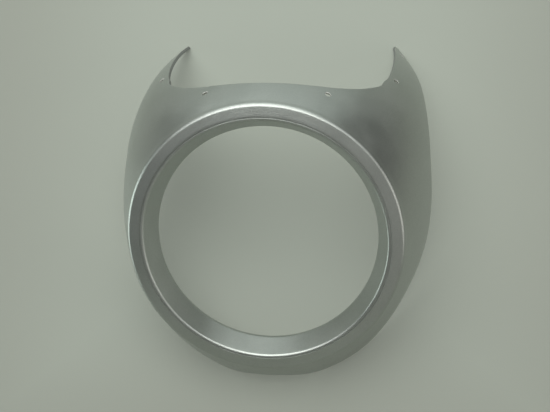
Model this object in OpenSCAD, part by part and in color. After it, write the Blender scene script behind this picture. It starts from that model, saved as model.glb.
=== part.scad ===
// Headlight cowl: the one-piece moulded nose cowl of a motorbike with a round headlamp.
// The ring's axis is Y and the ring faces -Y. +Z is up and +X is to the viewer's right.
// The origin is the centre of the headlamp opening, at the front end of its round land.

/* [Headlamp ring] */
// Diameter of the headlamp opening
opening_d = 190; // [150:1:220]
// Length of the round land that the headlamp sits in
land_len = 3; // [2:0.5:8]
// Distance from the land forward to the front of the rounded lip
recess_depth = 19; // [12:0.1:28]
// How far the recess opens out from the land to the lip
recess_flare = 7.8; // [4:0.1:16]
// Radius of the rounded lip
lip_r = 2.7; // [1:0.1:3]
// Width of the fine groove between the lip and the ring's face
groove_w = 1.1; // [0.6:0.1:2]
// Width of the face from the middle of the lip out to the middle of the outer roll
face_w = 9; // [7:0.1:20]
// How far the face falls back on its way from the lip to the roll
face_fall = 1.1; // [0:0.1:2]

/* [Shell] */
// Thickness of the moulded wall
wall = 3; // [2:0.1:4]
// Most that the shell opens out past the ring, at the shoulders
flare_w = 53; // [40:0.5:65]
// Distance behind the ring over which the longest flare levels out
flare_len = 200; // [180:1:240]
// Depth of the horn tips behind the opening
horn_reach = 184; // [150:1:200]
// Depth of the trimmed side edges behind the opening
side_reach = 54; // [40:1:65]
// Depth of the chin's edge ahead of the opening
chin_ahead = 2; // [0:0.5:5]

/* [Windscreen cut-out] */
// Depth of the cut-out's front edge behind the opening, on the centre line
sill_reach = 12; // [8:0.5:20]
// Diameter of each screw hole
hole_d = 5; // [3:0.1:7]
// Distance from the cut-out's edge in to the middle of each screw hole
hole_inset = 9; // [6:0.5:12]

/* [Hidden] */
$fn = 180;

// Places across the ring's section: distance from the axis, and distance ahead of the land
opening_r = opening_d / 2;
lip_place = [opening_r + recess_flare + lip_r, recess_depth - lip_r];
face_lean = atan2(face_fall, face_w);
face_back = recess_depth - face_fall - wall;
// The wall turns from the face into the shell about a point on the back of the face,
// at the face's outer edge
roll_r = wall;
roll_place = [lip_place[0] + face_w, face_back];

// The shell's outer face starts inside the roll, at this share of the roll's radius
root_share = 0.97;
root_lean = 36;
root_r = roll_place[0] + roll_r * root_share * cos(root_lean);
root_y = -roll_place[1] - roll_r * root_share * sin(root_lean);

// How the flare levels out on its way back: 1 would be straight, more is rounder
flare_bow = 1.85;
// Shares of the full flare and of its length at even angles, from the top to the bottom
flare_width_shares = [0.93, 0.93, 0.93, 0.98, 0.96, 0.81, 0.63, 0.52, 0.45, 0.41,
                      0.41, 0.46, 0.53, 0.58, 0.59, 0.57];
flare_length_shares = [1, 1, 0.98, 0.92, 0.81, 0.69, 0.61, 0.56, 0.53, 0.49,
                       0.45, 0.4, 0.36, 0.33, 0.28, 0.25];
half_turn = 180;
flare_turn = half_turn / (len(flare_width_shares) - 1);

// The rim of the moulding runs from the top centre along the cut-out to the horn's tip,
// back along the trimmed side and down to the chin. Each place has the angle where its
// line leaves the ring, the angle where it ends, and a share of a named depth.
rim_root_angles = [0, 10, 18.5, 26, 32, 36.4, 39, 40.8, 43, 46, 48, 49.5,
                   51, 53, 55, 57.5, 61, 66.5, 75, 85,
                   97, 110, 122, 133, 143, 152, 160, 168, 174, 180];
rim_end_angles = [0, 10.5, 18.9, 26.7, 33.5, 38.2, 38.7, 39.3, 39.2, 38.4, 37.6, 37.6,
                  41.9, 46.6, 50.8, 54.8, 59.4, 65, 74, 85,
                  97, 110, 122, 133, 143, 152, 160, 168, 174, 180];
// From the front edge of the cut-out to the horn's tip
horn_shares = [0, 0.014, 0.046, 0.097, 0.174, 0.279, 0.347, 0.412, 0.539, 0.726, 0.893, 1];
// From the middle of the side back to the horn's tip
side_shares = [0.855, 0.71, 0.555, 0.4, 0.26, 0.145, 0.055, 0];
// From the chin's edge back to the middle of the side
chin_shares = [0.975, 0.91, 0.82, 0.72, 0.615, 0.525, 0.365, 0.135, 0.025, 0];
rim_depths = concat(
    [for (s = horn_shares) sill_reach + s * (horn_reach - sill_reach)],
    [for (s = side_shares) side_reach + s * (horn_reach - side_reach)],
    [for (s = chin_shares) -chin_ahead + s * (side_reach + chin_ahead)]);

// Places along the rim where the screw holes of one side follow the cut-out's edge, and
// how far in each lies as a share of the usual distance
hole_places = [2.33, 7.09, 9.8];
hole_inset_shares = [1.15, 0.87, 0.97];
hole_overrun = 2 * wall;

// Fineness of the shell: steps between two rim places, and steps from ring to rim
rim_steps = 2;
row_steps = 10;
row_bow = 1.25;
half_stations = rim_steps * (len(rim_root_angles) - 1);
stations = 2 * half_stations;
nudge = 0.01;
arc_steps = 8;

// A value of a list at a whole place, carried on past both ends: a depth or a share is
// the same on both sides of the centre line, an angle changes sign there
function carried(v, i, is_angle) =
    let (last = len(v) - 1, k = i < 0 ? -i : i > last ? 2 * last - i : i)
    k == i || !is_angle ? v[k] : 2 * (i < 0 ? v[0] : v[last]) - v[k];

// A smooth curve through the values of a list
function smooth(v, x, is_angle = false) =
    let (i = max(0, min(floor(x), len(v) - 2)),
         w = x - i,
         a = carried(v, i - 1, is_angle),
         b = carried(v, i, is_angle),
         c = carried(v, i + 1, is_angle),
         d = carried(v, i + 2, is_angle))
    b + w / 2 * (c - a + w * (2 * a - 5 * b + 4 * c - d + w * (3 * (b - c) + d - a)));

function unit(v) = v / norm(v);

// A point of the shell's outer face, from the angle off the top and the depth
function shell_point(angle, y) =
    let (place = abs(angle) / flare_turn,
         width = flare_w * smooth(flare_width_shares, place),
         length = flare_len * smooth(flare_length_shares, place),
         left = max(0, 1 - (y - root_y) / length),
         r = root_r + width * (1 - pow(left, flare_bow)))
    [r * sin(angle), y, r * cos(angle)];

// The outward direction there
function shell_normal(angle, y) =
    let (across = shell_point(angle + nudge, y) - shell_point(angle - nudge, y),
         along = shell_point(angle, y + nudge * wall) - shell_point(angle, y - nudge * wall))
    unit(cross(across, along));

// A place on the rim, as an angle and a depth
function rim_place(k) = [smooth(rim_end_angles, k, true), smooth(rim_depths, k)];
function rim_point(k) = shell_point(rim_place(k)[0], rim_place(k)[1]);

// Angle and depth on the line that runs from the ring to a rim place
function line_place(k, t) =
    let (root = smooth(rim_root_angles, k, true), end = rim_place(k))
    [root + (end[0] - root) * t * t, root_y + (end[1] - root_y) * t];

// A point of the wall of one side: 0 is the outer face and 1 the inner face. The inner face
// starts level with the outer one, inside the ring's face.
function wall_point(k, t, inner) =
    let (at = line_place(k, t),
         inward = t > 0 ? shell_normal(at[0], at[1]) : [sin(at[0]), 0, cos(at[0])])
    shell_point(at[0], at[1]) - inner * wall * inward;

// Points along an arc, from one angle to another
function arc(centre, radius, from, to, steps) =
    [for (i = [0:steps])
        let (a = from + (to - from) * i / steps) centre + radius * [cos(a), sin(a)]];

// Middle of a screw hole on the right side, in from the cut-out's edge
function hole_point(i) =
    let (k = hole_places[i],
         run = unit(rim_point(k + nudge) - rim_point(k - nudge)))
    rim_point(k) + hole_inset * hole_inset_shares[i] * unit(cross(run, hole_axis(i)));
function hole_axis(i) =
    let (at = rim_place(hole_places[i])) shell_normal(at[0], at[1]);

// The flared shell: a wall of even thickness whose lines run from the ring to the rim
module shell_wall() {
    half = [for (k = [0:half_stations])
        [for (inner = [0, 1], j = [0:row_steps])
            wall_point(k / rim_steps, pow(j / row_steps, row_bow), inner)]];
    points = [for (k = [0:stations - 1], p = half[min(k, stations - k)])
        k <= half_stations ? p : [-p[0], p[1], p[2]]];
    per = 2 * (row_steps + 1);
    function spot(k, n) = (k % stations) * per + n;
    function four(k, n, m) =
        [spot(k, n), spot(k, m), spot(k + 1, m), spot(k + 1, n)];
    function halves(q, turned) = turned
        ? [[q[0], q[1], q[3]], [q[1], q[2], q[3]]]
        : [[q[0], q[1], q[2]], [q[0], q[2], q[3]]];
    faces = [for (k = [0:stations - 1])
        let (turned = k >= half_stations)
        each [
            for (j = [0:row_steps - 1]) each halves(four(k, j, j + 1), turned),
            for (j = [1:row_steps])
                each halves(four(k, row_steps + 1 + j, row_steps + j), turned),
            each halves(four(k, row_steps + 1, 0), turned),
            each halves(four(k, row_steps, 2 * row_steps + 1), turned)
        ]];
    polyhedron(points, faces, convexity = 6);
}

// The ring's section: the land, the tapered recess wall, the rounded lip, the fine groove,
// the gently falling face and the outer roll, then back along the rear of the same wall
module ring_section() {
    reach = lip_place - [opening_r, 0];
    lean = atan2(reach[0], reach[1]) - asin(lip_r / norm(reach));
    back_start = [opening_r + wall * cos(lean), -wall * sin(lean)];
    back_end_y = recess_depth - wall;
    back_end_r = back_start[0] + (back_end_y - back_start[1]) * tan(lean);
    lip_end = half_turn / 2 - 2 * face_lean;
    groove_start = lip_place + lip_r * [cos(lip_end), sin(lip_end)];
    polygon(concat(
        [[opening_r, -land_len], [opening_r, 0]],
        arc(lip_place, lip_r, half_turn - lean, lip_end, arc_steps),
        [groove_start + groove_w * [1 / 2, -1 / 2],
         groove_start + groove_w * [1, -tan(face_lean)]],
        arc(roll_place, roll_r, half_turn / 2 - face_lean, 0, arc_steps),
        [[back_end_r, back_end_y],
         back_start,
         [opening_r + wall, -land_len]]));
}

module headlamp_ring() {
    rotate([90, 0, 0]) rotate_extrude() ring_section();
}

// One screw hole, square to the shell's face
module screw_hole(i) {
    axis = hole_axis(i);
    translate(hole_point(i))
        rotate([0, acos(axis[2]), atan2(axis[1], axis[0])])
            cylinder(h = wall + 2 * hole_overrun, d = hole_d, center = true);
}

module cowl_shell() {
    color("silver") difference() {
        union() {
            headlamp_ring();
            shell_wall();
        }
        for (i = [0:len(hole_places) - 1], side = [0, 1])
            mirror([side, 0, 0]) screw_hole(i);
    }
}

cowl_shell();
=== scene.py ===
"""Headlight cowl: the painted moulding, its screw holes and the paper that it lies on.

Everything is in metres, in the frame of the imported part. The origin is the centre of the
headlamp opening, the ring faces -Y, +Z is up and +X is to the viewer's right.
"""

import math

import bmesh
import bpy
import numpy as np
from mathutils import Euler, Matrix, Vector


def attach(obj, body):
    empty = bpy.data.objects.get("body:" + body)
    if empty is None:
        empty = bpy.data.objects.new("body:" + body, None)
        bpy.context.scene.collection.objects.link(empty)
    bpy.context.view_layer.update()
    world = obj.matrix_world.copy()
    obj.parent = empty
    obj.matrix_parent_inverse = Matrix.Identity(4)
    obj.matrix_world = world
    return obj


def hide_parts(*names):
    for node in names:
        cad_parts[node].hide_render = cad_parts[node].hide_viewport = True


bl_info = {
    "name": "Headlight Cowl",
    "version": (1, 0, 0),
    "blender": (4, 5, 0),
    "location": "3D View > Sidebar > Cowl",
    "description": "Builds the painted moulding of a headlight cowl and the paper under it",
    "category": "Object",
}

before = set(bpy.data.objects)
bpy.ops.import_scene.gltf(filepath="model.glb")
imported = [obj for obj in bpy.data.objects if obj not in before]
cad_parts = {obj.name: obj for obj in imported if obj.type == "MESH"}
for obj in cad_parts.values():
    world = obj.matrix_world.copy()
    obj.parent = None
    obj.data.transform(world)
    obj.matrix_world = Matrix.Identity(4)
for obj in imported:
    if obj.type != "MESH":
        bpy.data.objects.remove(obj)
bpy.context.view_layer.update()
MM = 0.001

# The shell's outer face starts inside the ring's outer roll, at this share of its radius
ROOT_SHARE = 0.97
ROOT_LEAN = math.radians(36)
# How the flare levels out on its way back: 1 would be straight, more is rounder
FLARE_BOW = 1.85
# Shares of the full flare and of its length at even angles, from the top to the bottom
FLARE_WIDTH_SHARES = [0.93, 0.93, 0.93, 0.98, 0.96, 0.81, 0.63, 0.52, 0.45, 0.41,
                      0.41, 0.46, 0.53, 0.58, 0.59, 0.57]
FLARE_LENGTH_SHARES = [1, 1, 0.98, 0.92, 0.81, 0.69, 0.61, 0.56, 0.53, 0.49,
                       0.45, 0.4, 0.36, 0.33, 0.28, 0.25]
HALF_TURN = 180
FLARE_STEP = HALF_TURN / (len(FLARE_WIDTH_SHARES) - 1)

# The rim runs from the top centre along the cut-out to the horn's tip, back along the
# trimmed side and down to the chin. Each place has the angle where its line leaves the
# ring, the angle where it ends and, as a share of a named depth, how far back it lies.
RIM_ROOT_ANGLES = [0, 10, 18.5, 26, 32, 36.4, 39, 40.8, 43, 46, 48, 49.5,
                   51, 53, 55, 57.5, 61, 66.5, 75, 85,
                   97, 110, 122, 133, 143, 152, 160, 168, 174, 180]
RIM_END_ANGLES = [0, 10.5, 18.9, 26.7, 33.5, 38.2, 38.7, 39.3, 39.2, 38.4, 37.6, 37.6,
                  41.9, 46.6, 50.8, 54.8, 59.4, 65, 74, 85,
                  97, 110, 122, 133, 143, 152, 160, 168, 174, 180]
HORN_SHARES = [0, 0.014, 0.046, 0.097, 0.174, 0.279, 0.347, 0.412, 0.539, 0.726, 0.893, 1]
SIDE_SHARES = [0.855, 0.71, 0.555, 0.4, 0.26, 0.145, 0.055, 0]
CHIN_SHARES = [0.975, 0.91, 0.82, 0.72, 0.615, 0.525, 0.365, 0.135, 0.025, 0]
# Places along the rim of the three screw holes of one side, and how far in each lies as
# a share of the usual distance
HOLE_PLACES = [2.33, 7.09, 9.8]
HOLE_INSET_SHARES = [1.15, 0.87, 0.97]

# How far each corner of the ring is rounded, as a share of the land or of the wall
LAND_BACK_SHARE = 0.15
LAND_FRONT_SHARE = 0.3
BACK_CORNER_SHARE = 0.5
BACK_FOOT_SHARE = 0.2
SHELL_FOOT_SHARE = 0.6
# How deep the widening inside each screw hole starts, as a share of the wall
RELIEF_START_SHARE = 0.25
# Where the groove's floor starts and how wide it is, as shares of the groove's width
GROOVE_START_SHARE = 0.12
GROOVE_FLOOR_SHARE = 0.76
# How early the roll leaves its circle to ease into the shell, and how firmly it eases
EASE_TURN = 0.36
EASE_PULL = 0.36

# Fineness of the mesh: steps between two rim places, and steps along each part of the wall
RIM_STEPS = 6
CONE_STEPS = 8
LIP_STEPS = 12
CORNER_STEPS = 4
FACE_STEPS = 4
ROLL_STEPS = 10
BLEND_STEPS = 5
OUTER_ROWS = 44
INNER_ROWS = 30
# More than 1 draws the rows of the shell closer together near the ring
ROW_BOW = 1.15
EDGE_STEPS = 4
HOLE_SIDES = 48
NUDGE = 0.01
# Faces that meet at more than this are shaded as an edge
SHARP_ANGLE = math.radians(38)

# Names of the piece, its material slot and the attribute that says how far the rim is
COWL_PIECE = "painted_cowl"
RIM_DISTANCE = "rim_distance"
# Order of the piece's materials
PAINTED, BARE, TRIMMED = 0, 1, 2
# How the strands of each layer inside the moulding are turned, and their fineness
FIBRE_LAYERS = [
    ((0.3, 0.2, 0.5), (90, 900, 900)),
    ((-0.4, 0.9, 1.4), (900, 90, 900)),
    ((1.2, -0.3, 2.4), (900, 900, 90)),
]

# Where the photograph was taken from, and how the camera was turned
CAMERA_PLACE = (0.1218, -0.7986, 0.2766)
CAMERA_TURN = (72.7465, 1.0837, 7.7961)
CAMERA_LENS = 65.4545

# Where the leaning paper touches the moulding's lower rim, and how far the sheet reaches
PAPER_FOOT = (0.0274, -0.1252)
PAPER_LOW = -0.24
PAPER_BEND = 0.12
PAPER_BEND_STEPS = 24
PAPER_TOP = 0.9
PAPER_FRONT = -0.5
PAPER_SIDE = 0.5

# Soft round lamps: name, direction from the moulding, width, brightness and colour
LAMP_DISTANCE = 1.1
COOL = (0.89, 1.0, 0.95)
PLAIN = (0.98, 1.0, 0.97)
WARM = (1.0, 0.98, 0.92)
LAMPS = [
    ("ceiling_front", (-0.17, -0.7, 0.7), 1.2, 1.9, PLAIN),
    ("ceiling_wide", (-0.18, -0.45, 0.89), 1.7, 1.45, PLAIN),
    ("ceiling_back", (-0.1, 0.3, 0.95), 1.6, 0.55, COOL),
    ("window_left", (-0.98, -0.06, -0.18), 0.9, 2.5, COOL),
    ("window_right", (0.93, -0.36, 0.0), 0.8, 1.4, WARM),
    ("ceiling_right", (0.55, -0.6, 0.6), 0.7, 1.0, PLAIN),
    ("glow_front_right", (0.42, -0.88, -0.12), 0.8, 0.3, WARM),
    ("floor_glow", (0.0, -0.7, -0.7), 0.96, 0.3, WARM),
]


def length(name, words, default):
    """A size in metres that a user can change."""
    return bpy.props.FloatProperty(
        name=name, description=words, default=default, unit="LENGTH", subtype="DISTANCE", precision=4
    )


def share(name, words, default, most=1.0):
    """A plain number from nothing to its most."""
    return bpy.props.FloatProperty(name=name, description=words, default=default, min=0.0, max=most)


def colour(name, words, default):
    """A colour that a user can change."""
    return bpy.props.FloatVectorProperty(
        name=name, description=words, default=default, size=3, min=0.0, max=1.0, subtype="COLOR"
    )


class CowlSizes(bpy.types.PropertyGroup):
    """Real sizes of the moulding."""

    opening_d: length("Opening", "Diameter of the headlamp opening", 190 * MM)
    land_len: length("Land", "Length of the round land that the lamp sits in", 3 * MM)
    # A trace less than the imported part's, so that the rounder lip here stays inside its box
    recess_depth: length("Recess depth", "Distance from the land to the lip's front", 18.99 * MM)
    recess_flare: length("Recess flare", "How far the recess opens out to the lip", 7.8 * MM)
    lip_r: length("Lip radius", "Radius of the rounded lip", 2.7 * MM)
    groove_w: length("Groove width", "Width of the fine groove outside the lip", 1.3 * MM)
    groove_depth: length("Groove depth", "Depth of the groove below the face", 0.8 * MM)
    groove_break: length("Groove edge", "How far the groove's edges are rounded", 0.09 * MM)
    face_w: length("Face width", "Width from the lip to the ring's outer roll", 9 * MM)
    face_fall: length("Face fall", "How far the face falls back from the lip to the roll", 1.1 * MM)
    roll_blend: length("Roll blend", "How far the roll eases into the shell behind it", 5 * MM)
    wall: length("Wall", "Thickness of the moulded wall", 3 * MM)
    flare_w: length("Flare", "Most that the shell opens out past the ring", 53 * MM)
    flare_len: length("Flare length", "Distance over which the longest flare levels out", 200 * MM)
    horn_reach: length("Horn reach", "Depth of the horn tips behind the opening", 184 * MM)
    side_reach: length("Side reach", "Depth of the trimmed side edges", 54 * MM)
    chin_ahead: length("Chin ahead", "Depth of the chin's edge ahead of the opening", 2 * MM)
    sill_reach: length("Sill reach", "Depth of the cut-out's front edge", 12 * MM)
    hole_d: length("Screw hole", "Diameter of each screw hole", 5 * MM)
    hole_inset: length("Hole inset", "Distance from the cut-out's edge to a hole", 9 * MM)
    hole_break: length("Hole edge", "How far each hole's sharp edge is broken", 0.35 * MM)
    hole_relief: length("Hole relief", "How much wider each hole is worn inside", 2 * MM)
    edge_round: length("Edge rounding", "Radius that the trimmed edge is rubbed down to", 0.7 * MM)


class CowlFinish(bpy.types.PropertyGroup):
    """Colours and gloss of the moulding."""

    paint: colour("Paint", "Colour of the silver paint", (0.43, 0.455, 0.43))
    paint_dark: colour("Paint, thin", "Colour where the silver lies darker", (0.41, 0.434, 0.41))
    # The primer colour serves the rubbed edge, and it also darkens the trimmed edge as painted shade
    primer_and_edge_shade: colour("Primer", "Colour of the primer on a rubbed edge", (0.16, 0.168, 0.155))
    inside: colour("Inside", "Colour of the bare inner face", (0.62, 0.625, 0.6))
    inside_fibre: colour("Fibre", "Colour of the fibre strands inside", (0.5, 0.5, 0.46))
    dust: colour("Dust", "Colour of the fine dust", (0.42, 0.41, 0.38))
    metal: share("Metal", "How metallic the paint is", 0.94)
    gloss: share("Roughness", "Roughness of the paint", 0.38)
    clear: share("Clear coat", "Strength of the clear coat", 0.2)
    clear_rough: share("Coat roughness", "Roughness of the clear coat", 0.2)
    flake: length("Flake", "Size of a metal flake", 0.22 * MM)


class StageLook(bpy.types.PropertyGroup):
    """The paper, the light and the room around the moulding."""

    paper: colour("Paper", "Colour of the paper", (0.365, 0.393, 0.345))
    # Painted shade: the paper darkens to this colour towards its bottom and its sides
    paper_falloff_shade: colour("Paper edge", "Colour of the paper away from the part", (0.31, 0.325, 0.285))
    room: colour("Room", "Colour of the room's own light", (1.0, 1.0, 1.0))
    room_level: share("Room level", "Strength of the room's own light", 0.06, 4.0)
    lamp_level: share("Lamp level", "Strength of all the lamps together", 1.0, 4.0)
    paper_glow: share("Paper glow", "Share of the paper that is seen without its shadows", 0.36)
    paper_lean: bpy.props.FloatProperty(
        name="Paper lean", description="How far the paper leans back from upright",
        default=math.radians(31.2), subtype="ANGLE", unit="ROTATION"
    )


def carried(values, places, is_angle):
    """Values at whole places, carried on past both ends: an angle changes sign there."""
    last = len(values) - 1
    inside = np.abs(places)
    inside = np.where(inside > last, 2 * last - inside, inside)
    found = values[inside]
    if not is_angle:
        return found
    ends = np.where(places < 0, values[0], values[last])
    return np.where(inside == places, found, 2 * ends - found)


def smooth(values, place, is_angle=False):
    """A smooth curve through the values, read at places that may lie between them."""
    values = np.asarray(values, float)
    place = np.asarray(place, float)
    first = np.clip(np.floor(place).astype(int), 0, len(values) - 2)
    w = place - first
    a, b, c, d = (carried(values, first + n, is_angle) for n in (-1, 0, 1, 2))
    return b + w / 2 * (c - a + w * (2 * a - 5 * b + 4 * c - d + w * (3 * (b - c) + d - a)))


def unit(vectors):
    """Vectors of length one."""
    return vectors / np.linalg.norm(vectors, axis=-1, keepdims=True)


class ShellForm:
    """The outer face of the shell, from the angle off the top in degrees and the depth."""

    def __init__(self, sizes):
        self.sizes = sizes
        r = sizes.opening_d / 2
        self.opening_r = r
        self.lip = np.array([r + sizes.recess_flare + sizes.lip_r, sizes.recess_depth - sizes.lip_r])
        self.face_lean = math.atan2(sizes.face_fall, sizes.face_w)
        self.roll = self.lip + [sizes.face_w, sizes.lip_r - sizes.face_fall - sizes.wall]
        self.root_r = self.roll[0] + sizes.wall * ROOT_SHARE * math.cos(ROOT_LEAN)
        self.root_y = -self.roll[1] - sizes.wall * ROOT_SHARE * math.sin(ROOT_LEAN)
        reach = self.lip - [r, 0]
        self.recess_lean = math.atan2(*reach) - math.asin(sizes.lip_r / np.linalg.norm(reach))
        lean = self.recess_lean
        self.back_front = np.array([r + sizes.wall * math.cos(lean), -sizes.wall * math.sin(lean)])
        back_y = sizes.recess_depth - sizes.wall
        self.back_corner = np.array(
            [self.back_front[0] + (back_y - self.back_front[1]) * math.tan(lean), back_y]
        )
        roll_end = self.roll + [sizes.wall, 0]
        self.back_way = unit(roll_end - self.back_corner)
        horn = [sizes.sill_reach + s * (sizes.horn_reach - sizes.sill_reach) for s in HORN_SHARES]
        side = [sizes.side_reach + s * (sizes.horn_reach - sizes.side_reach) for s in SIDE_SHARES]
        chin = [-sizes.chin_ahead + s * (sizes.side_reach + sizes.chin_ahead) for s in CHIN_SHARES]
        self.rim_depths = horn + side + chin

    def radius(self, angle, y):
        """Distance from the ring's axis to the outer face."""
        place = np.abs(angle) / FLARE_STEP
        width = self.sizes.flare_w * smooth(FLARE_WIDTH_SHARES, place)
        reach = self.sizes.flare_len * smooth(FLARE_LENGTH_SHARES, place)
        left = np.maximum(0, 1 - (y - self.root_y) / reach)
        return self.root_r + width * (1 - left**FLARE_BOW)

    def point(self, angle, y):
        """A point of the outer face."""
        r = self.radius(angle, y)
        turn = np.radians(angle)
        return np.stack([r * np.sin(turn), y + 0 * r, r * np.cos(turn)], -1)

    def normal(self, angle, y):
        """The outward direction there."""
        step = NUDGE * self.sizes.wall
        across = self.point(angle + NUDGE, y) - self.point(angle - NUDGE, y)
        along = self.point(angle, y + step) - self.point(angle, y - step)
        return unit(np.cross(across, along))

    def rim(self, k):
        """Angle and depth of places on the rim."""
        return smooth(RIM_END_ANGLES, k, True), smooth(self.rim_depths, k)

    def line(self, k, t):
        """Angle and depth on the lines that run from the ring to rim places."""
        root = smooth(RIM_ROOT_ANGLES, k, True)
        end, end_y = self.rim(k)
        t_ahead = np.maximum(t, 0)
        return root + (end - root) * t_ahead * t_ahead, self.root_y + (end_y - self.root_y) * t

    def share_at(self, k, y):
        """How far along its line each place lies, from its depth."""
        return (y - self.root_y) / (self.rim(k)[1] - self.root_y)

    def hole(self, k, inset_share):
        """Middle and axis of a screw hole on the right side, on the outer face."""
        axis = self.normal(*self.rim(k))
        run = unit(self.point(*self.rim(k + NUDGE)) - self.point(*self.rim(k - NUDGE)))
        inward = unit(np.cross(run, axis))
        return self.point(*self.rim(k)) + self.sizes.hole_inset * inset_share * inward, axis


def turned(angles, sections):
    """Points of one section for each angle, given as radius and distance forward."""
    turn = np.radians(angles)[:, None]
    r, forward = sections[..., 0], sections[..., 1]
    return np.stack([r * np.sin(turn), -forward + 0 * turn, r * np.cos(turn)], -1)


def turned_alike(angles, section):
    """Points of the same section at every angle."""
    return turned(angles, np.tile(section, (len(angles), 1, 1)))


def cut_corner(a, b, c, reach):
    """Points that round the corner b off on the way from a to c."""
    a, b, c = (np.asarray(p, float) for p in (a, b, c))
    start = b + reach * unit(a - b)
    end = b + reach * unit(c - b)
    return bend(start, b, end, CORNER_STEPS)


def bend(start, pull, end, steps):
    """Points of a simple curve from start to end, pulled towards a corner."""
    w = np.linspace(0, 1, steps + 1)[:, None]
    return (1 - w) ** 2 * start + 2 * w * (1 - w) * pull + w**2 * end


def ease(start, first_pull, second_pull, end, steps):
    """Points of a curve from just after start to end, pulled towards two corners."""
    w = np.linspace(0, 1, steps + 1)[1:, None]
    near = (1 - w) ** 3 * start + 3 * w * (1 - w) ** 2 * first_pull
    return near + 3 * w**2 * (1 - w) * second_pull + w**3 * end


def between(a, b, steps):
    """Even points after a and before b."""
    w = np.linspace(0, 1, steps + 1)[1:-1, None]
    return np.asarray(a, float) + w * (np.asarray(b, float) - np.asarray(a, float))


def ring_front(form):
    """Section of the ring's front, from the back of the land to the groove's outer edge."""
    s = form.sizes
    r, lip = form.opening_r, form.lip
    arc = np.linspace(math.pi - form.recess_lean, math.pi / 2, LIP_STEPS + 1)
    lip_arc = lip + s.lip_r * np.stack([np.cos(arc), np.sin(arc)], -1)
    face_way = np.array([1, -math.tan(form.face_lean)])
    face_edge = lip_arc[-1] + s.groove_w * face_way
    beyond = face_edge + s.face_w * face_way
    groove = lip_arc[-1] + [GROOVE_START_SHARE * s.groove_w, -s.groove_depth]
    groove_out = groove + [GROOVE_FLOOR_SHARE * s.groove_w, 0]
    land_back, land_front = [r, -s.land_len], [r, 0]
    land_corner = cut_corner(land_back, land_front, lip_arc[0], LAND_FRONT_SHARE * s.land_len)
    rows = [
        cut_corner([r + s.wall, -s.land_len], land_back, land_front, LAND_BACK_SHARE * s.land_len),
        land_corner,
        between(land_corner[-1], lip_arc[0], CONE_STEPS),
        lip_arc[:-1],
        cut_corner(lip_arc[-2], lip_arc[-1], groove, s.groove_break),
        cut_corner(lip_arc[-1], groove, groove_out, s.groove_break),
        cut_corner(groove, groove_out, face_edge, s.groove_break),
        cut_corner(groove_out, face_edge, beyond, s.groove_break),
    ]
    return np.concatenate(rows)


def ring_back(form, start_r):
    """Section of the ring's back from a radius in to the end of the land."""
    s = form.sizes
    r = form.opening_r
    front, corner = form.back_front, form.back_corner
    land_end = [r + s.wall, -s.land_len]
    start = corner + form.back_way * (start_r - corner[0]) / form.back_way[0]
    rows = [
        cut_corner(start, corner, front, BACK_CORNER_SHARE * s.wall),
        cut_corner(corner, front, land_end, BACK_FOOT_SHARE * s.wall),
        cut_corner(front, land_end, [r, -s.land_len], LAND_BACK_SHARE * s.land_len),
    ]
    return np.concatenate(rows)


def roll_and_start(form, k):
    """The outer roll from the face into the shell, and the share of each line used up."""
    s = form.sizes
    step = NUDGE * s.wall

    def shell_at(t):
        """Angle, radius and distance forward, and slope, at a share of each line."""
        angle, y = form.line(k, t)
        r = form.radius(angle, y)
        return angle, np.stack([r, -y], -1), (form.radius(angle, y + step) - r) / step

    slope = shell_at(0)[2]
    meet_angle = np.arctan(slope)
    meet_y = -form.roll[1] - s.wall * np.sin(meet_angle)
    end_share = form.share_at(k, meet_y + s.roll_blend / np.sqrt(1 + slope**2))
    angles, end, end_slope = shell_at(end_share)
    back = unit(np.stack([end_slope, -np.ones_like(end_slope)], -1))
    leave = meet_angle + EASE_TURN * s.roll_blend / s.wall
    first = math.pi / 2 - form.face_lean
    turn = first + (leave - first)[:, None] * np.linspace(0, 1, ROLL_STEPS + 1)
    arc = form.roll + s.wall * np.stack([np.cos(turn), np.sin(turn)], -1)
    start = arc[:, -1]
    along = np.stack([np.sin(leave), -np.cos(leave)], -1)
    pull = EASE_PULL * np.linalg.norm(end - start, axis=-1, keepdims=True)
    corners = [start, start + pull * along, end - pull * back, end]
    blend = ease(*[corner[:, None] for corner in corners], BLEND_STEPS)
    return turned(angles, np.concatenate([arc, blend], 1)), end_share


def shell_rows(form, k, start, end, steps, inner):
    """Rows of points on one face of the shell: 0 is the outer face and 1 the inner one."""
    w = np.linspace(0, 1, steps + 1)[None, :] ** ROW_BOW
    t = start[:, None] + (end - start)[:, None] * w
    angle, y = form.line(np.repeat(k[:, None], steps + 1, 1), t)
    return form.point(angle, y) - inner * form.sizes.wall * form.normal(angle, y)


def trimmed_rim(form, k):
    """The rounded edge from the outer face over to the inner one, in two halves, and the
    share of each line where it starts."""
    s = form.sizes
    rim_place = form.rim(k)
    rim = form.point(*rim_place)
    normal = form.normal(*rim_place)[:, None]
    way = rim - form.point(*form.line(k, 1 - NUDGE))
    start = 1 - s.edge_round * NUDGE / np.linalg.norm(way, axis=-1)
    turn = np.linspace(0, math.pi / 2, EDGE_STEPS + 1)[None, :, None]
    rounded = rim[:, None] - s.edge_round * unit(way)[:, None] * (1 - np.sin(turn))
    sunk = s.edge_round * (1 - np.cos(turn))
    outer_half = rounded - sunk * normal
    inner_half = rounded - (s.wall - sunk) * normal
    return outer_half[:, 1:], inner_half[:, :0:-1], start


def shell_foot(form, inner):
    """The corner that rounds the shell's inner face into the back of the ring."""
    last_two = inner[:, -2:]
    flat = np.stack([np.linalg.norm(last_two[..., ::2], axis=-1), -last_two[..., 1]], -1)
    before, end = flat[:, 0], flat[:, 1]
    way = unit(end - before)
    across = np.array([-form.back_way[1], form.back_way[0]])
    reach = ((form.back_corner - end) @ across) / (way @ across)
    pull = end + reach[:, None] * way
    away = pull - SHELL_FOOT_SHARE * form.sizes.wall * form.back_way
    return bend(end[:, None], pull[:, None], away[:, None], CORNER_STEPS)[:, 1:]


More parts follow.
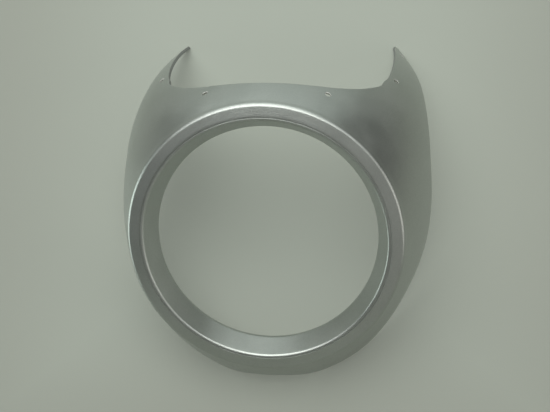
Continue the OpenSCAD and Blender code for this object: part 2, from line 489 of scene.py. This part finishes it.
def half_wall(form):
    """Sections of the whole wall at stations from the top centre round to the chin.

    Returns the points, and the place in a section where each named part of it ends."""
    s = form.sizes
    k = np.arange(RIM_STEPS * (len(RIM_ROOT_ANGLES) - 1) + 1) / RIM_STEPS
    roots = smooth(RIM_ROOT_ANGLES, k, True)
    front = ring_front(form)
    roll, start = roll_and_start(form, k)
    roll_start = form.roll + s.wall * np.array([math.sin(form.face_lean), math.cos(form.face_lean)])
    outer_edge, inner_edge, end = trimmed_rim(form, k)
    inner = shell_rows(form, k, start, end, INNER_ROWS, 1)[:, ::-1]
    parts = {
        "front": turned_alike(roots, front),
        "face": turned_alike(roots, between(front[-1], roll_start, FACE_STEPS)),
        "roll": roll,
        "outer": shell_rows(form, k, start, end, OUTER_ROWS, 0)[:, 1:],
        "outer_edge": outer_edge,
        "inner_edge": inner_edge,
        "inner": inner,
        "foot": turned(roots, shell_foot(form, inner)),
        "back": turned_alike(roots, ring_back(form, form.root_r - 2 * s.wall)),
    }
    ends = np.cumsum([part.shape[1] for part in parts.values()])
    return np.concatenate(list(parts.values()), 1), dict(zip(parts, ends))


def whole_wall(half):
    """All stations round the ring, from the right half and its mirror image."""
    left = half[1:-1][::-1] * [-1, 1, 1]
    return np.concatenate([half, left])


def rim_distances(sections, rim_index):
    """Distance of every point from the trimmed edge, measured along the wall."""
    steps = np.linalg.norm(np.diff(sections, axis=1), axis=-1)
    run = np.concatenate([np.zeros((len(sections), 1)), np.cumsum(steps, 1)], 1)
    return np.abs(run - run[:, rim_index : rim_index + 1])


def loft(name, sections, ends):
    """A closed mesh through the sections: painted in front, trimmed at the rim, bare behind."""
    stations, per = sections.shape[:2]
    faces = []
    kinds = []
    for i in range(stations):
        after = (i + 1) % stations
        for j in range(per):
            up = (j + 1) % per
            faces.append((i * per + j, after * per + j, after * per + up, i * per + up))
            painted = j <= ends["outer"] or j == per - 1
            kinds.append(PAINTED if painted else TRIMMED if j < ends["inner_edge"] else BARE)
    mesh = bpy.data.meshes.new(name)
    mesh.from_pydata(sections.reshape(-1, 3).tolist(), [], faces)
    mesh.polygons.foreach_set("material_index", kinds)
    near = mesh.attributes.new(RIM_DISTANCE, "FLOAT", "POINT")
    distances = rim_distances(sections, ends["outer_edge"])
    near.data.foreach_set("value", distances.ravel().astype(np.float32))
    shape = bmesh.new()
    shape.from_mesh(mesh)
    bmesh.ops.recalc_face_normals(shape, faces=shape.faces)
    shape.to_mesh(mesh)
    shape.free()
    mesh.update()
    return mesh


def hole_cutter(sizes, centre, axis):
    """A drill on the outer face that breaks the hole's sharp edge and widens it inside."""
    r = sizes.hole_d / 2
    far = 3 * sizes.wall
    profile = [
        (r + sizes.hole_relief, -far),
        (r + sizes.hole_relief, -sizes.wall),
        (r, -RELIEF_START_SHARE * sizes.wall),
        (r, -sizes.hole_break),
        (r + sizes.hole_break, 0),
        (r + sizes.hole_break + far, far),
    ]
    shape = bmesh.new()
    turns = [2 * math.pi * i / HOLE_SIDES for i in range(HOLE_SIDES)]
    rings = []
    for radius, height in profile:
        places = [(radius * math.cos(a), radius * math.sin(a), height) for a in turns]
        rings.append([shape.verts.new(place) for place in places])
    for low, high in zip(rings, rings[1:]):
        for i in range(HOLE_SIDES):
            after = (i + 1) % HOLE_SIDES
            shape.faces.new((low[i], low[after], high[after], high[i]))
    shape.faces.new(rings[0][::-1])
    shape.faces.new(rings[-1])
    for face in shape.faces:
        face.material_index = BARE
    mesh = bpy.data.meshes.new("hole_cutter")
    shape.to_mesh(mesh)
    shape.free()
    cutter = bpy.data.objects.new("hole_cutter", mesh)
    bpy.context.scene.collection.objects.link(cutter)
    turn = Vector((0, 0, 1)).rotation_difference(Vector(axis))
    cutter.matrix_world = Matrix.Translation(Vector(centre)) @ turn.to_matrix().to_4x4()
    return cutter


def drill(piece, form):
    """Cuts the three screw holes of each side through the wall."""
    cutters = []
    for k, inset_share in zip(HOLE_PLACES, HOLE_INSET_SHARES):
        centre, axis = form.hole(k, inset_share)
        for side in (1, -1):
            flip = np.array([side, 1, 1])
            cutters.append(hole_cutter(form.sizes, centre * flip, axis * flip))
    for cutter in cutters:
        cut = piece.modifiers.new("screw_hole", "BOOLEAN")
        cut.operation = "DIFFERENCE"
        cut.solver = "EXACT"
        cut.material_mode = "INDEX"
        cut.object = cutter
    bpy.context.view_layer.update()
    seen = piece.evaluated_get(bpy.context.evaluated_depsgraph_get())
    drilled = bpy.data.meshes.new_from_object(seen)
    piece.modifiers.clear()
    piece.data = drilled
    for cutter in cutters:
        bpy.data.objects.remove(cutter)


class Shader:
    """Places and joins the nodes of one material or group."""

    def __init__(self, tree):
        self.tree = tree

    def node(self, kind, inputs=None, **settings):
        """A node with its settings, and with values or other nodes' outputs as inputs."""
        made = self.tree.nodes.new(kind)
        for name, value in settings.items():
            setattr(made, name, value)
        for name, value in (inputs or {}).items():
            self.feed(made.inputs[name], value)
        return made

    def feed(self, socket, value):
        """Puts a value on a socket, or joins another node's output to it."""
        if isinstance(value, bpy.types.NodeSocket):
            self.tree.links.new(value, socket)
        else:
            socket.default_value = value

    def math(self, operation, *values, clamp=False):
        """A sum of numbers."""
        made = self.tree.nodes.new("ShaderNodeMath")
        made.operation = operation
        made.use_clamp = clamp
        for socket, value in zip(made.inputs, values):
            self.feed(socket, value)
        return made.outputs[0]

    def mix(self, amount, first, second):
        """A colour between two colours."""
        made = self.tree.nodes.new("ShaderNodeMix")
        made.data_type = "RGBA"
        self.feed(made.inputs[0], amount)
        self.feed(made.inputs[6], first)
        self.feed(made.inputs[7], second)
        return made.outputs[2]

    def ramp(self, value, low, high, to_low=0.0, to_high=1.0):
        """A value spread smoothly from one range to another."""
        made = self.tree.nodes.new("ShaderNodeMapRange")
        made.interpolation_type = "SMOOTHSTEP"
        for socket, number in zip(made.inputs, (value, low, high, to_low, to_high)):
            self.feed(socket, number)
        return made.outputs[0]

    def scaled(self, colour, factor):
        """A colour made brighter or darker."""
        inputs = {0: colour, "Scale": factor}
        return self.node("ShaderNodeVectorMath", inputs, operation="SCALE").outputs[0]

    def noise(self, place, size, detail):
        """A cloudy pattern whose clouds are about as wide as the size."""
        per_metre = self.math("DIVIDE", 1.0, size)
        inputs = {"Vector": place, "Scale": per_metre, "Detail": detail}
        return self.node("ShaderNodeTexNoise", inputs).outputs["Fac"]

    def bump(self, height, strength, distance, **more):
        """A surface direction that follows a height."""
        inputs = {"Height": height, "Strength": strength, "Distance": distance, **more}
        return self.node("ShaderNodeBump", inputs).outputs["Normal"]

    def place(self):
        """Places on the piece, in its own frame."""
        return self.node("ShaderNodeTexCoord").outputs["Object"]


def rgba(values):
    """A colour with full alpha."""
    return (values[0], values[1], values[2], 1.0)


def new_group(name, inputs, output_names):
    """A shader group with numbers coming in: its builder, its entry and its exit."""
    group = bpy.data.node_groups.new(name, "ShaderNodeTree")
    for socket, value in inputs.items():
        made = group.interface.new_socket(name=socket, in_out="INPUT", socket_type="NodeSocketFloat")
        made.default_value = value
    for socket in output_names:
        kind = "NodeSocketVector" if socket == "Normal" else "NodeSocketFloat"
        group.interface.new_socket(name=socket, in_out="OUTPUT", socket_type=kind)
    s = Shader(group)
    return s, s.node("NodeGroupInput").outputs, s.node("NodeGroupOutput").inputs


def metal_flakes():
    """Fine metal flakes in the paint, each with its own brightness and tilt."""
    s, given, result = new_group(
        "metal_flakes", {"Flake Size": 0.00022, "Tilt": 0.1}, ("Sparkle", "Normal")
    )
    per_metre = s.math("DIVIDE", 1.0, given["Flake Size"])
    cells = s.node("ShaderNodeTexVoronoi", {"Vector": s.place(), "Scale": per_metre})
    chance = cells.outputs["Color"]
    middle = (0.5, 0.5, 0.5)
    centred = s.node("ShaderNodeVectorMath", {0: chance, 1: middle}, operation="SUBTRACT")
    tilt = s.scaled(centred.outputs[0], given["Tilt"])
    normal = s.node("ShaderNodeNewGeometry").outputs["Normal"]
    tilted = s.node("ShaderNodeVectorMath", {0: normal, 1: tilt}, operation="ADD")
    done = s.node("ShaderNodeVectorMath", {0: tilted.outputs[0]}, operation="NORMALIZE")
    s.feed(result["Sparkle"], s.node("ShaderNodeSeparateColor", {"Color": chance}).outputs[0])
    s.feed(result["Normal"], done.outputs[0])
    return s.tree


def soft_mottle():
    """Slow, cloudy changes and the fine orange peel of a sprayed coat."""
    sizes = {"Cloud Size": 0.03, "Peel Size": 0.002}
    s, given, result = new_group("soft_mottle", sizes, ("Cloud", "Peel"))
    place = s.place()
    s.feed(result["Cloud"], s.noise(place, given["Cloud Size"], 3.0))
    s.feed(result["Peel"], s.noise(place, given["Peel Size"], 1.5))
    return s.tree


def edge_wear():
    """A mask that is one on the trimmed edge and breaks up a short way from it."""
    s, given, result = new_group("edge_wear", {"Reach": 0.002, "Breakup Size": 0.004}, ("Worn",))
    distance = s.node("ShaderNodeAttribute", attribute_name=RIM_DISTANCE).outputs["Fac"]
    noise = s.noise(s.place(), given["Breakup Size"], 4.0)
    reach = s.math("MULTIPLY", given["Reach"], s.ramp(noise, 0.3, 0.7, 0.1, 1.6))
    s.feed(result["Worn"], s.ramp(s.math("DIVIDE", distance, reach), 0.5, 1.2, 1.0, 0.0))
    return s.tree


def fine_dust():
    """A mask of thin dust that settles where the surface looks up."""
    s, given, result = new_group("fine_dust", {"Amount": 0.2, "Patch Size": 0.02}, ("Dust",))
    normal = s.node("ShaderNodeNewGeometry").outputs["Normal"]
    up = s.node("ShaderNodeSeparateXYZ", {"Vector": normal}).outputs["Z"]
    patches = s.ramp(s.noise(s.place(), given["Patch Size"], 6.0), 0.35, 0.75)
    settled = s.math("MULTIPLY", patches, s.ramp(up, 0.0, 0.9))
    s.feed(result["Dust"], s.math("MULTIPLY", settled, given["Amount"]))
    return s.tree


def shared_effects():
    """The four shader groups that the materials share, by name."""
    return {make.__name__: make() for make in (metal_flakes, soft_mottle, edge_wear, fine_dust)}


def new_material(name):
    """An empty node material and its shader builder, with the output in place."""
    material = bpy.data.materials.new(name)
    material.use_nodes = True
    material.node_tree.nodes.clear()
    s = Shader(material.node_tree)
    return material, s, s.node("ShaderNodeOutputMaterial")


def placed(s, group, inputs):
    """The outputs of a shared effect in a material, with its own values."""
    made = s.node("ShaderNodeGroup", node_tree=group)
    for name, value in inputs.items():
        s.feed(made.inputs[name], value)
    return made.outputs


def silver_paint(finish, effects):
    """Satin silver paint: fine flakes, a slight orange peel and a rubbed trimmed edge."""
    material, s, output = new_material("silver_paint")
    flakes = placed(s, effects["metal_flakes"], {"Flake Size": finish.flake, "Tilt": 0.16})
    coat = placed(s, effects["soft_mottle"], {"Cloud Size": 0.045, "Peel Size": 0.0016})
    worn = placed(s, effects["edge_wear"], {"Reach": 0.0008, "Breakup Size": 0.006})["Worn"]
    dust = placed(s, effects["fine_dust"], {"Amount": 0.08, "Patch Size": 0.03})["Dust"]
    cloud = s.ramp(coat["Cloud"], 0.3, 0.7)
    body = s.mix(cloud, rgba(finish.paint_dark), rgba(finish.paint))
    flaked = s.scaled(body, s.ramp(flakes["Sparkle"], 0.0, 1.0, 0.88, 1.12))
    rubbed = s.mix(worn, flaked, rgba(finish.primer_and_edge_shade))
    dusty = s.mix(dust, rubbed, rgba(finish.dust))
    covered = s.math("MAXIMUM", worn, dust)
    uneven = s.ramp(coat["Cloud"], 0.3, 0.7, finish.gloss - 0.02, finish.gloss + 0.02)
    shader = s.node(
        "ShaderNodeBsdfPrincipled",
        {
            "Base Color": dusty,
            "Metallic": s.math("MULTIPLY", s.math("SUBTRACT", 1.0, covered), finish.metal),
            "Roughness": s.math("ADD", uneven, s.math("MULTIPLY", covered, 0.25), clamp=True),
            "Normal": s.bump(coat["Peel"], 0.113, 0.00012, Normal=flakes["Normal"]),
            "Coat Weight": finish.clear,
            "Coat Roughness": finish.clear_rough,
        },
    )
    s.feed(output.inputs["Surface"], shader.outputs[0])
    return material


def bare_inside(finish, effects):
    """The rough inner face: light resin over strands, with a little overspray at the rim."""
    material, s, output = new_material("bare_inside")
    place = s.place()
    coat = placed(s, effects["soft_mottle"], {"Cloud Size": 0.02, "Peel Size": 0.0012})
    spray = placed(s, effects["edge_wear"], {"Reach": 0.006, "Breakup Size": 0.012})["Worn"]
    dust = placed(s, effects["fine_dust"], {"Amount": 0.35, "Patch Size": 0.025})["Dust"]
    mat = 0.0
    for turn, stretch in FIBRE_LAYERS:
        laid = s.node("ShaderNodeMapping", {"Vector": place, "Rotation": turn, "Scale": stretch})
        fibre = s.noise(laid.outputs[0], 1.0, 2.0)
        mat = s.math("MAXIMUM", mat, s.ramp(fibre, 0.5, 0.72))
    resin = s.mix(mat, rgba(finish.inside), rgba(finish.inside_fibre))
    cloud = s.ramp(coat["Cloud"], 0.35, 0.8, 0.0, 0.35)
    cloudy = s.mix(cloud, resin, rgba(finish.inside_fibre))
    dusty = s.mix(dust, cloudy, rgba(finish.dust))
    sprayed = s.mix(s.math("MULTIPLY", spray, 0.8), dusty, rgba(finish.paint_dark))
    peel = s.math("MULTIPLY", coat["Peel"], 0.4)
    shader = s.node(
        "ShaderNodeBsdfPrincipled",
        {
            "Base Color": sprayed,
            "Metallic": 0.0,
            "Roughness": s.ramp(mat, 0.0, 1.0, 0.62, 0.85),
            "Normal": s.bump(s.math("ADD", s.math("MULTIPLY", mat, 0.6), peel), 0.7, 0.0005),
        },
    )
    s.feed(output.inputs["Surface"], shader.outputs[0])
    return material


def trimmed_edge(finish, effects):
    """The cut edge of the moulding: sanded, with thin, broken paint, and coloured darker than the
    paint as painted shade of an edge that faces away from the light.
    """
    material, s, output = new_material("trimmed_edge")
    coat = placed(s, effects["soft_mottle"], {"Cloud Size": 0.006, "Peel Size": 0.0005})
    thin = s.ramp(coat["Cloud"], 0.4, 0.65)
    bare = s.ramp(s.noise(s.place(), 0.0009, 3.0), 0.6, 0.75, 0.0, 0.3)
    # Painted shade: primer and half-bright paint make the trimmed edge darker than the painted face
    # beside it
    covered = s.mix(thin, rgba(finish.primer_and_edge_shade), s.scaled(tuple(finish.paint_dark), 0.5))
    shader = s.node(
        "ShaderNodeBsdfPrincipled",
        {
            "Base Color": s.mix(bare, covered, rgba(finish.inside_fibre)),
            "Metallic": s.math("MULTIPLY", thin, 0.4),
            "Roughness": s.ramp(coat["Cloud"], 0.3, 0.7, 0.6, 0.8),
            "Normal": s.bump(coat["Peel"], 0.5, 0.0002),
        },
    )
    s.feed(output.inputs["Surface"], shader.outputs[0])
    return material


def photo_paper(look):
    """Matt paper, painted darker away from the part as painted shade of the light falling off, that
    can't be seen from behind.
    """
    material, s, output = new_material("photo_paper")
    place = s.place()
    tooth = s.noise(place, 0.0014, 3.0)
    along = s.node("ShaderNodeSeparateXYZ", {"Vector": place}).outputs
    # Painted shade: the paper's colour darkens towards the bottom and the sides, standing in for
    # light that falls off there
    low = s.ramp(along["Z"], -0.06, -0.24)
    aside = s.ramp(s.math("ABSOLUTE", along["X"]), 0.1, 0.34)
    shaded_tint = s.mix(s.math("MAXIMUM", low, aside), rgba(look.paper), rgba(look.paper_falloff_shade))
    sheet = s.node("ShaderNodeBsdfDiffuse", {"Color": shaded_tint, "Normal": s.bump(tooth, 0.15, 0.0003)})
    # Painted light: to the camera and in reflections the paper also glows with a share of its own
    # colour, which lifts its shadows
    even = s.node("ShaderNodeEmission", {"Color": shaded_tint})
    path = s.node("ShaderNodeLightPath").outputs
    seen = s.math("MAXIMUM", path["Is Camera Ray"], path["Is Glossy Ray"])
    glow = s.math("MULTIPLY", seen, look.paper_glow)
    face = s.node("ShaderNodeMixShader", {0: glow, 1: sheet.outputs[0], 2: even.outputs[0]})
    clear = s.node("ShaderNodeBsdfTransparent")
    behind = s.node("ShaderNodeNewGeometry").outputs["Backfacing"]
    sides = {0: behind, 1: face.outputs[0], 2: clear.outputs[0]}
    shader = s.node("ShaderNodeMixShader", sides)
    s.feed(output.inputs["Surface"], shader.outputs[0])
    return material


def paper_profile(lean):
    """Depth and height of the sheet: level in front, a round bend, then leaning back."""
    up = np.array([math.sin(lean), math.cos(lean)])
    foot = np.array(PAPER_FOOT)
    bend_end = foot + up * (PAPER_LOW - foot[1]) / up[1]
    turn = math.pi / 2 - lean
    centre = bend_end + PAPER_BEND * np.array([-up[1], up[0]])
    bend_angles = np.linspace(0, turn, PAPER_BEND_STEPS + 1)
    arc = [centre + PAPER_BEND * np.array([math.sin(a), -math.cos(a)]) for a in bend_angles]
    top = foot + up * (PAPER_TOP - foot[1]) / up[1]
    return [np.array([PAPER_FRONT, arc[0][1]])] + arc + [top]


def build_paper(look):
    """One sheet of paper, with its face towards the moulding."""
    profile = paper_profile(look.paper_lean)
    points = []
    for y, z in profile:
        points += [(-PAPER_SIDE, y, z), (PAPER_SIDE, y, z)]
    faces = [(2 * i, 2 * i + 1, 2 * i + 3, 2 * i + 2) for i in range(len(profile) - 1)]
    mesh = bpy.data.meshes.new("paper_sheet")
    mesh.from_pydata(points, [], faces)
    mesh.shade_smooth()
    sheet = bpy.data.objects.new("paper_sheet", mesh)
    bpy.context.scene.collection.objects.link(sheet)
    mesh.materials.append(photo_paper(look))
    return sheet


def build_lamps(look):
    """Large soft lamps that look at the middle of the moulding.

    A lamp's power is its brightness times pi times the area of its disc."""
    for name, way, size, brightness, hue in LAMPS:
        light = bpy.data.lights.new(name, "AREA")
        light.shape = "DISK"
        light.size = size
        light.energy = brightness * look.lamp_level * math.pi * math.pi * size * size / 4
        light.color = hue
        lamp = bpy.data.objects.new(name, light)
        bpy.context.scene.collection.objects.link(lamp)
        way = Vector(way).normalized()
        lamp.location = way * LAMP_DISTANCE
        lamp.visible_camera = False
        lamp.rotation_euler = way.to_track_quat("Z", "Y").to_euler()


def build_room(look):
    """A plain room, and the paper's own colour wherever the camera looks past the paper."""
    world = bpy.data.worlds.new("plain_room")
    bpy.context.scene.world = world
    world.use_nodes = True
    world.node_tree.nodes.clear()
    s = Shader(world.node_tree)
    output = s.node("ShaderNodeOutputWorld")
    room = s.node("ShaderNodeBackground", {"Color": rgba(look.room), "Strength": look.room_level})
    seen = s.node("ShaderNodeBackground", {"Color": rgba(look.paper), "Strength": 1.0})
    camera_ray = s.node("ShaderNodeLightPath").outputs["Is Camera Ray"]
    mixed = s.node("ShaderNodeMixShader", {0: camera_ray, 1: room.outputs[0], 2: seen.outputs[0]})
    s.feed(output.inputs["Surface"], mixed.outputs[0])


def build_camera():
    """The camera, where the photograph was taken from."""
    data = bpy.data.cameras.new("photo_camera")
    data.lens = CAMERA_LENS
    data.clip_start = 0.01
    camera = bpy.data.objects.new("photo_camera", data)
    bpy.context.scene.collection.objects.link(camera)
    camera.location = CAMERA_PLACE
    camera.rotation_euler = Euler([math.radians(a) for a in CAMERA_TURN])
    bpy.context.scene.camera = camera


class COWL_OT_shell(bpy.types.Operator):
    """Build the painted moulding with its ring, shell, horns and screw holes"""

    bl_idname = "cowl.build_shell"
    bl_label = "Build the Moulding"

    def execute(self, context):
        sizes = context.scene.cowl_sizes
        form = ShellForm(sizes)
        half, ends = half_wall(form)
        mesh = loft(COWL_PIECE, whole_wall(half), ends)
        piece = bpy.data.objects.new(COWL_PIECE, mesh)
        context.scene.collection.objects.link(piece)
        finish = context.scene.cowl_finish
        effects = shared_effects()
        for material in (silver_paint, bare_inside, trimmed_edge):
            mesh.materials.append(material(finish, effects))
        drill(piece, form)
        piece.data.shade_smooth()
        piece.data.set_sharp_from_angle(angle=SHARP_ANGLE)
        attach(piece, "root")
        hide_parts("cowl_shell")
        return {"FINISHED"}


class COWL_OT_stage(bpy.types.Operator):
    """Set up the paper, the soft lamps, the room and the camera"""

    bl_idname = "cowl.build_stage"
    bl_label = "Build the Stage"

    def execute(self, context):
        look = context.scene.cowl_stage
        build_paper(look)
        build_lamps(look)
        build_room(look)
        build_camera()
        context.scene.view_settings.view_transform = "Standard"
        return {"FINISHED"}


class COWL_PT_panel(bpy.types.Panel):
    """Sizes, finish and stage of the headlight cowl"""

    bl_idname = "COWL_PT_panel"
    bl_label = "Headlight Cowl"
    bl_space_type = "VIEW_3D"
    bl_region_type = "UI"
    bl_category = "Cowl"

    def draw(self, context):
        layout = self.layout
        scene = context.scene
        for group, operator in (
            (scene.cowl_sizes, COWL_OT_shell),
            (scene.cowl_finish, None),
            (scene.cowl_stage, COWL_OT_stage),
        ):
            column = layout.column(align=True)
            for name in group.__annotations__:
                column.prop(group, name)
            if operator:
                layout.operator(operator.bl_idname)


CLASSES = (CowlSizes, CowlFinish, StageLook, COWL_OT_shell, COWL_OT_stage, COWL_PT_panel)


def register():
    """Adds the classes and the settings that they use."""
    for kind in CLASSES:
        bpy.utils.register_class(kind)
    bpy.types.Scene.cowl_sizes = bpy.props.PointerProperty(type=CowlSizes)
    bpy.types.Scene.cowl_finish = bpy.props.PointerProperty(type=CowlFinish)
    bpy.types.Scene.cowl_stage = bpy.props.PointerProperty(type=StageLook)


def unregister():
    """Takes them away again."""
    del bpy.types.Scene.cowl_stage
    del bpy.types.Scene.cowl_finish
    del bpy.types.Scene.cowl_sizes
    for kind in reversed(CLASSES):
        bpy.utils.unregister_class(kind)


def main():
    """Builds everything in order."""
    register()
    bpy.ops.cowl.build_shell()
    bpy.ops.cowl.build_stage()


if __name__ == "__main__":
    main()
